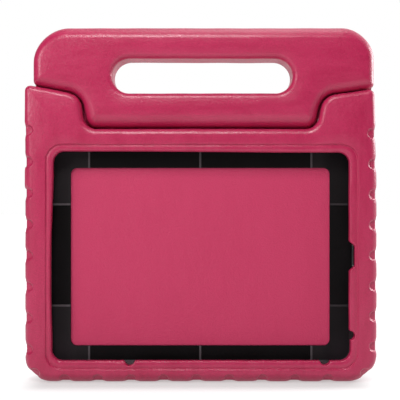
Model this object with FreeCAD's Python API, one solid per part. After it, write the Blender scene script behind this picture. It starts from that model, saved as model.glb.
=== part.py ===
"""Child's moulded-foam tablet case with a carry handle that folds back as a stand.

Frame: +X to the viewer's right, the open front faces -Y, +Z up, millimetres.
The origin is under the middle of the case, on the surface that it stands on.
"""
import FreeCAD, Part

import math
import os

# ---- tablet that the case is made for
TABLET_W = 240.0
TABLET_H = 169.5
TABLET_FIT = 0.3                    # room round the tablet's edge
BAY_Z = 101.0                       # height of the tablet's middle

# ---- foam body
BODY_W = 279.0
BODY_DEPTH = 30.0
BODY_CORNER_R = 25.0                # bottom corners
SHOULDER_CORNER_R = 6.5             # outer top corners
EDGE_R = 6.0                        # rounding of the front and back edges
LIP_BACK_Y = -7.7                   # underside of the lip that holds the tablet in
WINDOW_W = 235.6
WINDOW_H = 165.2
WINDOW_R = 8.5
PANEL_Y = 2.0                       # front face of the back panel

# ---- line between handle and body: outer slope, wall of the notch, notch floor
NOTCH_FLOOR_Z = 202.8
SEAM_LEFT = ((-133.0, 237.1), (-95.3, 229.7), (-91.6, NOTCH_FLOOR_Z))
SEAM_RIGHT = ((133.0, 233.8), (97.7, 228.8), (92.6, NOTCH_FLOOR_Z))
KNEE_R = 14.0
FOOT_R = 10.5
FRONT_GAP = 1.2                     # gap along that line, seen from the front
TONGUE_REACH = 1.0                  # how far the handle's rear half reaches past the line
REAR_GAP = 1.0                      # gap round the handle's rear half
LIP_REAR_Y = -5.0                   # the body reaches up to the line only in front of this
TONGUE_Y = 0.0                      # the handle's rear half starts here

# ---- carry handle
HANDLE_TOP_Z = 283.9
HANDLE_LEFT_X = -132.6
HANDLE_RIGHT_X = 137.2
HANDLE_CORNER_LEFT_R = 31.0
HANDLE_CORNER_RIGHT_R = 28.0
HANDLE_END_R = 3.0                  # lower outer corners
HANDLE_DEPTH = 28.0
HOLE_MIDDLE = (1.7, 244.3)
HOLE_L = 143.6
HOLE_H = 27.5
HOLE_END_R = 13.7
HOLE_EDGE_R = 4.0

# ---- hinge
HINGE_Y = 5.0
HINGE_Z = 217.0
FOLD_DEG = 120.0                    # how far the handle folds back
FOLD_ROOM = 0.6                     # air left between handle and body over the fold
ROD_R = 3.0
ROD_END_X = 133.0
ROD_CLEARANCE = 0.05
ROD_CHAMFER = 0.6
TUBE_R = 6.0
TUBE_END_X = 91.5
BUSH_R = 6.0
BUSH_X = (99.0, 127.0)
FLANGE_R = 8.0
FLANGE_T = 1.5
POCKET_R = 8.3                      # pocket in the shoulder's side for the rod's end
THROAT_R = 3.6                      # hole in the foam between notch and bush
WASHER_T = 1.5
WASHER_R = 6.6
SPRING_T = 0.5
SPRING_RISE = 0.6
SPRING_R = 6.0
CLIP_T = 0.6
CLIP_R = 5.6
CLIP_TEETH = 6
CLIP_RIM = 1.2                      # width of the clip's unslotted rim
CLIP_SLOT_W = 1.0
STACK_AIR = 0.3
CAP_T = 5.0
CAP_R = 8.2
CAP_DISH_R = 22.0
CAP_DISH_DEPTH = 0.9
CAP_EDGE_R = 0.8

# ---- black inner frame
FRAME_WALL = 2.5
FRAME_T = 1.4
FRAME_WINDOW = (210.0, 144.0)
FRAME_WINDOW_Z = 99.5
FRAME_WINDOW_R = 5.0
RIB_T = 1.6
RIB_RISE = 0.6
RIB_X = (-90.0, 0.0, 90.0)
RIB_DZ = (-41.0, 41.0)
CORNER_PAD_RISE = 0.3               # the ring is thicker between the outer ribs and its corners
FRAME_SLACK = 0.1

# ---- grip grooves
GROOVE_R = 13.0
GROOVE_DEPTH = 1.3
SIDE_PITCH = 24.8
SIDE_FIRST_Z = 27.2
SIDE_GROOVES = 8
BASE_PITCH = 26.1
BASE_FIRST_X = -107.4
BASE_GROOVES = 9
CORNER_GROOVE_INSET = 16.5          # how far the slanting corner grooves sit in from each side

# ---- openings for the tablet's keys, sockets and speakers
SOCKET_Y = -4.0                     # middle of the tablet's thickness
PORT_SLOT = (22.0, 8.0)             # charging socket: height, depth
NOTCH_OUTER_H = 16.0                # cut in the lip beside the charging socket
NOTCH_INNER_H = 24.0
NOTCH_X = 122.6
NOTCH_R = 1.0
SPEAKER_SLOT = (20.0, 3.6)
SPEAKER_DZ = 34.0
JACK_R = 4.2
JACK_Z = 27.0
VOLUME_SLOT = (34.0, 6.5)
VOLUME_SLOT_R = 3.2
VOLUME_SLOT_X = -72.0
LIP_NICKS = ((-56.2, 18.0, 4.0), (98.4, 18.0, 4.2), (118.9, 38.0, 3.6))   # x, z, radius

# ---- power key pad
KEY_Z = 163.3
KEY_PAD = (18.0, 9.0)
KEY_PROUD = 1.0
KEY_PAD_T = 3.6
KEY_EDGE_R = 0.9
KEY_STEM = (10.0, 4.5)
KEY_REST_GAP = 1.2                  # from the stem's tip to the tablet's edge
KEY_SLACK = 0.4
KEY_POCKET_ROOM = 1.4               # depth left under the pad for its travel

PAST = 5.0                          # how far cutting shapes run past a face
LAP = 1.0                           # how far joined shapes run into each other
TOUCH = 1e-6                        # two places closer than this are the same
HALF_W = BODY_W / 2
HALF_D = BODY_DEPTH / 2
HANDLE_HALF_D = HANDLE_DEPTH / 2
BAY_HALF_W = TABLET_W / 2 + TABLET_FIT
BAY_HALF_H = TABLET_H / 2 + TABLET_FIT
FRAME_HALF_W = BAY_HALF_W + FRAME_WALL
FRAME_HALF_H = BAY_HALF_H + FRAME_WALL
BAY_R = 9.0
HANDLE_REAR_LINE = -TONGUE_REACH
BODY_REAR_LINE = -TONGUE_REACH - REAR_GAP
HINGE_POINT = FreeCAD.Vector(0, HINGE_Y, HINGE_Z)
FOLD_AXIS = FreeCAD.Vector(-1, 0, 0)


# ---------------------------------------------------------------- drawing helpers
def vec(x, z, y=0.0):
    return FreeCAD.Vector(x, y, z)


def outline(corners, y=0.0):
    """Face in an XZ plane from (x, z, radius) corners, joined by lines and tangent arcs."""
    starts, middles, ends = [], [], []
    for i, (x, z, radius) in enumerate(corners):
        here = vec(x, z, y)
        to_here = (here - vec(*corners[i - 1][:2], y)).normalize()
        onward = (vec(*corners[(i + 1) % len(corners)][:2], y) - here).normalize()
        half_turn = to_here.getAngle(onward) / 2
        inward = (onward - to_here).normalize()
        run = radius * math.tan(half_turn)
        centre = here + inward * (radius / math.cos(half_turn))
        starts.append(here - to_here * run)
        middles.append(centre - inward * radius)
        ends.append(here + onward * run)
    edges = []
    for i in range(len(corners)):
        edges.append(Part.Arc(starts[i], middles[i], ends[i]).toShape())
        following = starts[(i + 1) % len(corners)]
        if ends[i].distanceToPoint(following) > TOUCH:
            edges.append(Part.LineSegment(ends[i], following).toShape())
    return Part.Face(Part.Wire(edges))


def slab(face, y0, y1):
    """Extrude a face drawn at y = 0 so that it fills y0 to y1."""
    moved = face.copy()
    moved.translate(FreeCAD.Vector(0, y0, 0))
    return moved.extrude(FreeCAD.Vector(0, y1 - y0, 0))


def rounded_rect(width, height, radius, x=0.0, z=0.0):
    w, h = width / 2, height / 2
    return outline([(x - w, z - h, radius), (x + w, z - h, radius),
                    (x + w, z + h, radius), (x - w, z + h, radius)])


def block(x0, x1, y0, y1, z0, z1):
    return Part.makeBox(x1 - x0, y1 - y0, z1 - z0, FreeCAD.Vector(x0, y0, z0))


def rod_shape(radius, x0, x1, y=HINGE_Y, z=HINGE_Z):
    """Cylinder along X between two x positions, given in either order."""
    low, high = min(x0, x1), max(x0, x1)
    return Part.makeCylinder(radius, high - low, FreeCAD.Vector(low, y, z), FreeCAD.Vector(1, 0, 0))


def stadium_x(height, depth, x0, x1, y, z):
    """Long round-ended bar along X: its section is height (Z) by depth (Y)."""
    radius = depth / 2
    reach = height / 2 - radius
    low, high = min(x0, x1), max(x0, x1)
    bar = block(low, high, y - radius, y + radius, z - reach, z + reach)
    for end_z in (z - reach, z + reach):
        bar = bar.fuse(rod_shape(radius, low, high, y, end_z))
    return bar.removeSplitter()


def edges_at_depth(shape, *depths):
    """Edges that lie wholly in the planes y = depth."""
    return [e for e in shape.Edges
            if any(all(abs(v.Y - d) < TOUCH for v in e.Vertexes)
                   and abs(e.BoundBox.YLength) < TOUCH for d in depths)]


def round_edges(shape):
    return [e for e in shape.Edges if e.Curve.TypeId == "Part::GeomCircle"]


def save(shape, name):
    shape.exportStep(f"parts/{name}.step")


# ---------------------------------------------------------------- line between handle and body
def crossing(p, q, r, s):
    """Where the line p-q meets the line r-s, all (x, z)."""
    d1 = (q[0] - p[0], q[1] - p[1])
    d2 = (s[0] - r[0], s[1] - r[1])
    t = ((r[0] - p[0]) * d2[1] - (r[1] - p[1]) * d2[0]) / (d1[0] * d2[1] - d1[1] * d2[0])
    return (p[0] + d1[0] * t, p[1] + d1[1] * t)


def shifted(p, q, distance, side):
    """Line p-q moved towards the handle; side is -1 on the left, 1 on the right."""
    dx, dz = q[0] - p[0], q[1] - p[1]
    length = math.hypot(dx, dz)
    nx, nz = side * dz / length * distance, -side * dx / length * distance
    return (p[0] + nx, p[1] + nz), (q[0] + nx, q[1] + nz)


def seam(points, side, distance, outer_x):
    """Corners of one side's seam line, from its outer end to the notch floor."""
    outer, knee, foot = points
    slope = shifted(outer, knee, distance, side)
    wall = shifted(knee, foot, distance, side)
    floor = ((0.0, foot[1] + distance), (1.0, foot[1] + distance))
    edge = ((outer_x, 0.0), (outer_x, 1.0))
    return [crossing(*slope, *edge), crossing(*slope, *wall), crossing(*wall, *floor)]


def seam_corners(distance, left_x, right_x, end_r):
    """Corners of the whole seam, right end to left end, with their radii."""
    right = seam(SEAM_RIGHT, 1, distance, right_x)
    left = seam(SEAM_LEFT, -1, distance, left_x)
    knee_r, foot_r = KNEE_R + distance, FOOT_R - distance
    return [(*right[0], end_r), (*right[1], knee_r), (*right[2], foot_r),
            (*left[2], foot_r), (*left[1], knee_r), (*left[0], end_r)]


# ---------------------------------------------------------------- foam body
def stepped_plate(front_face, rear_face, half_depth, step_y):
    """Plate with rounded front and rear edges whose outline changes at y = step_y."""
    front = slab(front_face, -half_depth, step_y)
    rear = slab(rear_face, step_y, half_depth)
    front = front.makeFillet(EDGE_R, edges_at_depth(front, -half_depth))
    rear = rear.makeFillet(EDGE_R, edges_at_depth(rear, half_depth))
    return front.fuse(rear).removeSplitter()


def body_blank():
    def face(distance):
        corners = [(-HALF_W, 0.0, BODY_CORNER_R), (HALF_W, 0.0, BODY_CORNER_R)]
        return outline(corners + seam_corners(distance, -HALF_W, HALF_W, SHOULDER_CORNER_R))
    return stepped_plate(face(-FRONT_GAP / 2), face(BODY_REAR_LINE), HALF_D, LIP_REAR_Y)


def fold_room():
    """Space that the handle sweeps through as it folds back over the body's shoulders."""
    high = HANDLE_TOP_Z + PAST
    wide = HALF_W + PAST
    corners = seam_corners(BODY_REAR_LINE, -wide, wide, PAST / 2)
    corners += [(-wide, high, PAST / 2), (wide, high, PAST / 2)]
    above = block(-wide - LAP, wide + LAP, -LAP, LAP, HINGE_Z, high + LAP)
    region = outline(corners).common(above)
    region.translate(FreeCAD.Vector(0, HINGE_Y, 0))
    swept = region.revolve(HINGE_POINT, FOLD_AXIS, FOLD_DEG)
    rear = region.extrude(FreeCAD.Vector(0, HANDLE_HALF_D - HINGE_Y + FOLD_ROOM, 0))
    rear.rotate(HINGE_POINT, FOLD_AXIS, FOLD_DEG)
    return [swept, rear]


def grip_grooves():
    out = GROOVE_R - GROOVE_DEPTH
    spots = []
    for i in range(SIDE_GROOVES):
        z = SIDE_FIRST_Z + i * SIDE_PITCH
        spots += [(-HALF_W - out, z), (HALF_W + out, z)]
    for i in range(BASE_GROOVES):
        spots.append((BASE_FIRST_X + i * BASE_PITCH, -out))
    slant = GROOVE_R / math.sqrt(2)
    for side in (-1, 1):
        x = side * (HALF_W - CORNER_GROOVE_INSET / 2 + slant)
        spots.append((x, CORNER_GROOVE_INSET / 2 - slant))
    along = FreeCAD.Vector(0, 1, 0)
    return [Part.makeCylinder(GROOVE_R, BODY_DEPTH + 2 * PAST,
                              FreeCAD.Vector(x, -HALF_D - PAST, z), along) for x, z in spots]


def lip_cuts():
    """Cut beside the charging socket and the small nicks in the lip's inner edge."""
    inside = WINDOW_W / 2 - LAP
    half_in, half_out = NOTCH_INNER_H / 2 + LAP, NOTCH_OUTER_H / 2
    notch = outline([(inside, BAY_Z - half_in, NOTCH_R), (NOTCH_X, BAY_Z - half_out, NOTCH_R),
                     (NOTCH_X, BAY_Z + half_out, NOTCH_R), (inside, BAY_Z + half_in, NOTCH_R)])
    cuts = [slab(notch, -HALF_D - PAST, LIP_BACK_Y + LAP)]
    for x, z, radius in LIP_NICKS:
        cuts.append(Part.makeCylinder(radius, HALF_D + PAST + LIP_BACK_Y + LAP,
                                      FreeCAD.Vector(x, -HALF_D - PAST, z), FreeCAD.Vector(0, 1, 0)))
    return cuts


def side_openings(inner_x, outer_x):
    """Tunnels through the side walls, from inner_x to outer_x either side of the middle."""
    cuts = [stadium_x(*PORT_SLOT, inner_x, outer_x, SOCKET_Y, BAY_Z)]
    for dz in (-SPEAKER_DZ, SPEAKER_DZ):
        cuts.append(stadium_x(*SPEAKER_SLOT, inner_x, outer_x, SOCKET_Y, BAY_Z + dz))
    cuts.append(rod_shape(JACK_R, -inner_x, -outer_x, SOCKET_Y, JACK_Z))
    stem_hole = [size + 2 * KEY_SLACK for size in KEY_STEM]
    cuts.append(stadium_x(*stem_hole, -inner_x, -outer_x, SOCKET_Y, KEY_Z))
    return cuts


def hinge_bores():
    cuts = []
    for side in (-1, 1):
        inner, outer = side * BUSH_X[0], side * BUSH_X[1]
        cuts.append(rod_shape(THROAT_R, side * (TUBE_END_X - PAST), inner))
        cuts.append(rod_shape(BUSH_R, inner, outer))
        cuts.append(rod_shape(POCKET_R, outer - side * FLANGE_T, side * (HALF_W + PAST)))
    return cuts


def foam_body():
    window = slab(rounded_rect(WINDOW_W, WINDOW_H, WINDOW_R, z=BAY_Z),
                  -HALF_D - PAST, LIP_BACK_Y + LAP)
    bay = slab(rounded_rect(2 * FRAME_HALF_W, 2 * FRAME_HALF_H, BAY_R + FRAME_WALL, z=BAY_Z),
               LIP_BACK_Y, PANEL_Y)
    volume_z = BAY_Z + BAY_HALF_H + VOLUME_SLOT[1] / 2 - LAP
    volume = rounded_rect(*VOLUME_SLOT, VOLUME_SLOT_R, VOLUME_SLOT_X, volume_z)
    key_pocket = [size + 2 * KEY_SLACK for size in KEY_PAD]
    pocket_x = HALF_W + KEY_PROUD - KEY_PAD_T - KEY_POCKET_ROOM
    pocket = stadium_x(*key_pocket, -pocket_x, -HALF_W - PAST, SOCKET_Y, KEY_Z)
    cuts = [window, bay, pocket, slab(volume, LIP_BACK_Y, HALF_D + PAST)]
    cuts += fold_room() + grip_grooves() + lip_cuts() + hinge_bores()
    cuts += side_openings(FRAME_HALF_W - LAP, HALF_W + PAST)
    return body_blank().cut(cuts)


# ---------------------------------------------------------------- black inner frame
def inner_frame():
    """Shallow tray whose base is a ring; its ribs stand up to the tablet's back."""
    outer_w, outer_h = FRAME_HALF_W - FRAME_SLACK, FRAME_HALF_H - FRAME_SLACK
    tray = slab(rounded_rect(2 * outer_w, 2 * outer_h, BAY_R + FRAME_WALL, z=BAY_Z),
                LIP_BACK_Y + FRAME_SLACK, PANEL_Y)
    base_y = PANEL_Y - FRAME_T
    bay = rounded_rect(2 * BAY_HALF_W, 2 * BAY_HALF_H, BAY_R, z=BAY_Z)
    inside = slab(bay, LIP_BACK_Y - LAP, base_y)
    window = slab(rounded_rect(*FRAME_WINDOW, FRAME_WINDOW_R, z=FRAME_WINDOW_Z), LIP_BACK_Y, PANEL_Y + LAP)
    half_w, half_h = FRAME_WINDOW[0] / 2, FRAME_WINDOW[1] / 2
    low, high = BAY_Z - BAY_HALF_H, BAY_Z + BAY_HALF_H
    ring_low, ring_high = FRAME_WINDOW_Z - half_h, FRAME_WINDOW_Z + half_h
    rib_y = base_y - RIB_RISE
    ribs = []
    for x in RIB_X:
        for z0, z1 in ((low, ring_low), (ring_high, high)):
            ribs.append(block(x - RIB_T / 2, x + RIB_T / 2, rib_y, base_y, z0, z1))
    for dz in RIB_DZ:
        for x0, x1 in ((-BAY_HALF_W, -half_w), (half_w, BAY_HALF_W)):
            z = BAY_Z + dz
            ribs.append(block(x0, x1, rib_y, base_y, z - RIB_T / 2, z + RIB_T / 2))
    pad = slab(bay, base_y - CORNER_PAD_RISE, base_y)
    middle_rows = block(-BAY_HALF_W, BAY_HALF_W, -PAST, PAST, BAY_Z + RIB_DZ[0], BAY_Z + RIB_DZ[1])
    middle_columns = block(RIB_X[0], RIB_X[-1], -PAST, PAST, low, high)
    pads = pad.cut([middle_rows, middle_columns, window])
    holes = side_openings(BAY_HALF_W - LAP, FRAME_HALF_W + PAST)
    reach = VOLUME_SLOT[0] / 2
    holes.append(block(VOLUME_SLOT_X - reach, VOLUME_SLOT_X + reach, LIP_BACK_Y - LAP, PANEL_Y + LAP,
                       high - LAP, BAY_Z + FRAME_HALF_H + LAP))
    half_notch = NOTCH_INNER_H / 2
    holes.append(block(BAY_HALF_W - LAP, FRAME_HALF_W + LAP, LIP_BACK_Y - LAP, base_y,
                       BAY_Z - half_notch, BAY_Z + half_notch))
    return tray.cut([inside, window]).fuse(ribs + pads.Solids).cut(holes).removeSplitter()


# ---------------------------------------------------------------- carry handle
def handle_face(distance):
    corners = [(HANDLE_LEFT_X, HANDLE_TOP_Z, HANDLE_CORNER_LEFT_R),
               (HANDLE_RIGHT_X, HANDLE_TOP_Z, HANDLE_CORNER_RIGHT_R)]
    return outline(corners + seam_corners(distance, HANDLE_LEFT_X, HANDLE_RIGHT_X, HANDLE_END_R))


def carry_handle():
    rear_face = handle_face(HANDLE_REAR_LINE)
    blank = stepped_plate(handle_face(FRONT_GAP / 2), rear_face, HANDLE_HALF_D, TONGUE_Y)
    hole = rounded_rect(HOLE_L, HOLE_H, HOLE_END_R, *HOLE_MIDDLE)
    blank = blank.cut(slab(hole, -HANDLE_HALF_D - PAST, HANDLE_HALF_D + PAST))
    rims = [e for e in edges_at_depth(blank, -HANDLE_HALF_D, HANDLE_HALF_D)
            if abs(e.CenterOfMass.z - HOLE_MIDDLE[1]) <= HOLE_H / 2 + TOUCH
            and abs(e.CenterOfMass.x - HOLE_MIDDLE[0]) <= HOLE_L / 2]
    blank = blank.makeFillet(HOLE_EDGE_R, rims)
    wide = HALF_W + PAST
    under_axis = rear_face.common(block(-wide, wide, -LAP, LAP, 0, HINGE_Z))
    under_axis.translate(FreeCAD.Vector(0, HINGE_Y, 0))
    rolled = under_axis.revolve(HINGE_POINT, -FOLD_AXIS, 90)
    corner = block(-wide, wide, HINGE_Y, HANDLE_HALF_D + PAST, NOTCH_FLOOR_Z - PAST, HINGE_Z)
    return blank.cut(corner.cut(rolled)).cut(rod_shape(TUBE_R, -wide, wide))


# ---------------------------------------------------------------- hinge hardware
def hinge_rod():
    rod = rod_shape(ROD_R, -ROD_END_X, ROD_END_X)
    return rod.makeChamfer(ROD_CHAMFER, round_edges(rod))


def handle_tube():
    return rod_shape(TUBE_R, -TUBE_END_X, TUBE_END_X).cut(rod_shape(ROD_R + ROD_CLEARANCE, -HALF_W, HALF_W))


def ring(radius, hole, side, start, thickness):
    outer = rod_shape(radius, side * start, side * (start + thickness))
    return outer.cut(rod_shape(hole, side * (start - LAP), side * (start + thickness + LAP)))


def shoulder_bush(side):
    hole = ROD_R + ROD_CLEARANCE
    length = BUSH_X[1] - BUSH_X[0]
    barrel = ring(BUSH_R, hole, side, BUSH_X[0], length - FLANGE_T)
    return barrel.fuse(ring(FLANGE_R, hole, side, BUSH_X[1] - FLANGE_T, FLANGE_T)).removeSplitter()


def friction_washer(side):
    return ring(WASHER_R, ROD_R + ROD_CLEARANCE, side, BUSH_X[1], WASHER_T)


def turned(profile, side):
    """Solid of revolution round the hinge axis from (distance out from x = 0, radius) points."""
    points = [FreeCAD.Vector(side * x, HINGE_Y, HINGE_Z + r) for x, r in profile]
    face = Part.Face(Part.makePolygon(points + points[:1]))
    return Part.Solid(face.revolve(HINGE_POINT, FreeCAD.Vector(1, 0, 0), 360))


def spring_washer(side):
    """Coned disc that presses the stack together."""
    start = BUSH_X[1] + WASHER_T + STACK_AIR
    hole = ROD_R + ROD_CLEARANCE
    return turned([(start + SPRING_RISE, hole), (start + SPRING_RISE + SPRING_T, hole),
                   (start + SPRING_T, SPRING_R), (start, SPRING_R)], side)


def rod_clip(side):
    """Push-on clip: a disc whose inner teeth bite on the rod."""
    start = BUSH_X[1] + WASHER_T + STACK_AIR + SPRING_RISE + SPRING_T
    disc = ring(CLIP_R, ROD_R, side, start, CLIP_T)
    slots = []
    for i in range(CLIP_TEETH):
        slot = block(-CLIP_T, CLIP_T, -CLIP_SLOT_W / 2, CLIP_SLOT_W / 2, 0, CLIP_R - CLIP_RIM)
        slot.translate(FreeCAD.Vector(side * (start + CLIP_T / 2), HINGE_Y, HINGE_Z))
        slot.rotate(HINGE_POINT, FreeCAD.Vector(1, 0, 0), 360 / CLIP_TEETH * i)
        slots.append(slot)
    return disc.cut(slots)


def hinge_cap(side):
    """Dished plug that closes the shoulder's side, flush with the foam."""
    cap = rod_shape(CAP_R, side * (HALF_W - CAP_T), side * HALF_W)
    rim = [e for e in round_edges(cap) if abs(abs(e.CenterOfMass.x) - HALF_W) < TOUCH]
    cap = cap.makeFillet(CAP_EDGE_R, rim)
    dish_x = side * (HALF_W + CAP_DISH_R - CAP_DISH_DEPTH)
    return cap.cut(Part.makeSphere(CAP_DISH_R, FreeCAD.Vector(dish_x, HINGE_Y, HINGE_Z)))


# ---------------------------------------------------------------- power key pad
def power_button_pad():
    """Pad outside, stem through the wall; pressing it pushes the tablet's power key."""
    top = -HALF_W - KEY_PROUD
    pad = stadium_x(*KEY_PAD, top, top + KEY_PAD_T, SOCKET_Y, KEY_Z)
    rim = [e for e in pad.Edges if all(abs(v.X - top) < TOUCH for v in e.Vertexes)]
    pad = pad.makeFillet(KEY_EDGE_R, rim)
    stem_end = -BAY_HALF_W - KEY_REST_GAP + TABLET_FIT
    stem = stadium_x(*KEY_STEM, top + KEY_PAD_T, stem_end, SOCKET_Y, KEY_Z)
    return pad.fuse(stem).removeSplitter()


def main():
    os.makedirs("parts", exist_ok=True)
    save(foam_body(), "foam_body")
    save(inner_frame(), "inner_frame")
    save(carry_handle(), "carry_handle")
    save(hinge_rod(), "hinge_rod")
    save(handle_tube(), "handle_tube")
    save(power_button_pad(), "power_button_pad")
    paired = {"shoulder_bush": shoulder_bush, "friction_washer": friction_washer,
              "spring_washer": spring_washer, "rod_clip": rod_clip, "hinge_cap": hinge_cap}
    for name, make in paired.items():
        for side, word in ((-1, "left"), (1, "right")):
            save(make(side), f"{name}_{word}")


main()
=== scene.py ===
"""Looks of the foam tablet case: moulded foam made as smooth solids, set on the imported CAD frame."""
import math

import bpy
import numpy as np
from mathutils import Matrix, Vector


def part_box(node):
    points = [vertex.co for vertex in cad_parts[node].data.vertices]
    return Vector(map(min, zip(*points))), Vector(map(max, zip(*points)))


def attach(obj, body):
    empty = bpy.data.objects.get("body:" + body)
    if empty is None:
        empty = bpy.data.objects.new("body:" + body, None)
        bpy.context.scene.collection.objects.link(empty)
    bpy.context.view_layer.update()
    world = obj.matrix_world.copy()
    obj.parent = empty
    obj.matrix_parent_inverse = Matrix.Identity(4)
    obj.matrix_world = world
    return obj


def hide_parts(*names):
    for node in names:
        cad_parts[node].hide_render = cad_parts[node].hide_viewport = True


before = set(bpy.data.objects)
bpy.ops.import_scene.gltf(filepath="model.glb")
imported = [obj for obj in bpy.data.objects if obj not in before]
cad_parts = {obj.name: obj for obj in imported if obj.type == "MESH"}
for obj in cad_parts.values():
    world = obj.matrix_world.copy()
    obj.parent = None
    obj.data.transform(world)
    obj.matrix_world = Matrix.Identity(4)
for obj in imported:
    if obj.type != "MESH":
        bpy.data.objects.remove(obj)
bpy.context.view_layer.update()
MM = 0.001

# ------------------------------------------------------------------ sizes, millimetres
HALF_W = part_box("foam_body")[1][0] / MM
HALF_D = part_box("foam_body")[1][1] / MM
BAY_Z = 101.0
WINDOW_W, WINDOW_H, WINDOW_R = 235.6, 165.2, 8.5
LIP_BACK_Y = -7.7
PANEL_Y = 2.12
BAY_HALF_W, BAY_HALF_H = 122.8, 87.55
BAY_R = 11.5

# the step round the lip: how far it runs from the window's edge, its height and its crease
LIP_LEFT, LIP_RIGHT, LIP_TOP, LIP_BOTTOM = 4.4, 6.8, 5.8, 6.9
LIP_STEP_R = 13.0
LIP_STEP, LIP_STEP_HALF_W = 1.3, 0.7
CREASE_DEPTH, CREASE_HALF_W = 0.4, 0.8
BORDER_DROP, BORDER_W = 1.0, 9.0    # the border slopes down to the step over this width
LIP_BEAD, BEAD_RISE = 2.6, 0.5      # the lip swells between the step and the window
LEFT_STRAY = ((2.3, 95.0, 185.0), (0.9, 75.0, 30.0), 1.1)   # the lip edge's wander along its left side
RIGHT_STRAY, RIGHT_WAVE, RIGHT_CORNER = 0.5, (0.12, 6.5), (1.0, 36.0, 32.0)
TOP_STRAY, TOP_FALL, BOTTOM_STRAY = 0.55, (0.85, -60.0, 90.0), -0.6

BODY_CORNER_LEFT_R, BODY_CORNER_R = 20.5, 23.0
SHOULDER_CORNER_R = 4.5
BODY_EDGE_R, BASE_EDGE_MORE, SHOULDER_EDGE_LESS = 6.5, 3.0, 2.2
BASE_FADE_Z, SHOULDER_FADE_Z = (16.0, 4.0), (190.0, 203.0)  # heights over which the edge's radius changes
HANDLE_EDGE_R, HANDLE_TOP_MORE, HANDLE_FOOT_MORE = 7.5, 3.5, 3.0
TOP_FADE_Z, FOOT_FADE_Z = (258.0, 280.0), (228.0, 210.0)
CROWN_DROP, CROWN_W = 2.0, 22.0   # the front falls away towards the body's edge
HANDLE_CROWN_DROP, HANDLE_CROWN_W = 1.6, 20.0
HOLE_CROWN_DROP, HOLE_CROWN_W = 1.9, 16.0
LEAN_RIGHT, LEAN_RIGHT_LESS, LEAN_RIGHT_Z = 1.5, 2.2, (150.0, 235.0)    # how far each side stands out
LEAN_LEFT, LEAN_LEFT_LESS, LEAN_LEFT_Z = 0.4, 0.1, (180.0, 210.0)       # and how much less above
LEAN_X = (105.0, 135.0)

NOTCH_FLOOR_Z = 202.8
SEAM_LEFT = ((-133.0, 237.1), (-95.3, 229.7), (-91.6, NOTCH_FLOOR_Z))
SEAM_RIGHT = ((133.0, 233.8), (97.7, 228.8), (92.6, NOTCH_FLOOR_Z))
KNEE_R, FOOT_R = 14.0, 10.5
BODY_LIP, HANDLE_LIP = -0.6, 0.6  # edges either side of the seam line, seen from the front
BODY_REAR, HANDLE_REAR = -2.0, -1.4
LIP_REAR_Y, TONGUE_Y = -5.0, 0.0
LIP_AIR = 0.9                     # between the lip and the tongue as it turns past
TONGUE_EDGE_R = 0.8

HANDLE_TOP_Z = 283.9
HANDLE_LEFT_X, HANDLE_RIGHT_X = -133.5, 139.0
HANDLE_CORNER_LEFT_R, HANDLE_CORNER_RIGHT_R, HANDLE_END_R = 29.0, 26.0, 3.5
HANDLE_HALF_D = 14.0
HOLE_X, HOLE_Z = 1.7, 244.3
HOLE_L, HOLE_H = 143.6, 27.5
HOLE_EDGE = 4.0

HINGE_Y, HINGE_Z = 5.0, 217.0
FOLD = math.radians(120.0)
FOLD_REAR = HANDLE_HALF_D - HINGE_Y + 0.6
ROD_BORE_R, BUSH_BORE_R, POCKET_R = 3.6, 6.1, 8.35
TUBE_BORE_R, TUBE_END_X = 6.1, 91.6
BUSH_X0, POCKET_X0 = 99.0, 125.5

GROOVE_DEPTH, GROOVE_SIDE_DEPTH = 2.0, 1.0   # over the front and back, and at the side
GROOVE_HALF, GROOVE_WAVE = 4.6, 7.6    # half the width of a grip groove, and of the soft dip at the side
GROOVE_REACH = 8.0                # how far it runs in over the front and back
GROOVE_EDGE = 1.6
GROOVE_DEEPER = (1.2, 4.5)         # how far in the finger reaches its full depth
WAVE_FLAT, WAVE_FADE = 1.5, (5.0, 1.0)
SIDE_GROOVES = 8
SIDES = ((-1, 27.2, 24.8), (1, 29.4, 24.1))    # side, height of the lowest groove, and their pitch
BASE_PITCH, BASE_FIRST_X, BASE_GROOVES = 26.1, -107.4, 9

SOCKET_Y = -4.0
PORT_H, PORT_D = 22.0, 8.0
SPEAKER_H, SPEAKER_D, SPEAKER_DZ = 20.0, 3.6, 34.0
JACK_R, JACK_Z = 4.2, 27.0
NOTCH_X = 122.6
NOTCH_OUTER_H, NOTCH_INNER_H = 16.0, 24.0
LIP_NICKS = ((-56.2, 18.0, 4.0), (99.0, 18.5, 4.0), (118.9, 38.0, 3.6))
VOLUME_W, VOLUME_H, VOLUME_X = 34.0, 6.5, -72.0
TABLET_HALF_H = 85.05
VOLUME_Z = BAY_Z + TABLET_HALF_H + VOLUME_H / 2 - 1
KEY_Z = 163.3
KEY_H, KEY_D, KEY_T, KEY_PROUD = 18.0, 9.0, 3.6, 1.0
KEY_STEM_H, KEY_STEM_D, KEY_STEM_X = 10.0, 4.5, -121.2
KEY_SLACK, KEY_ROOM = 0.4, 1.4
KEY_DOME, KEY_EDGE_R = 0.35, 0.9

# rounding of the edges where something is cut out of the foam
LIP_EDGE_R, BAY_EDGE_R, NOTCH_EDGE_R, FOLD_EDGE_R, VOLUME_EDGE_R = 1.4, 0.4, 0.8, 1.0, 1.2
SLOT_EDGE_R, SLIT_EDGE_R, POCKET_EDGE_R, BORE_EDGE_R = 0.8, 0.5, 0.7, 0.3
CAP_EDGE_R = 0.6

# size of a mesh cell, and the most triangles of a piece
FINE_CELL, QUICK_CELL, KEY_CELL, QUICK_SHARE = 0.85, 1.6, 0.5, 0.35
BODY_FACES, HANDLE_FACES, KEY_FACES = 186000, 120000, 16000

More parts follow.
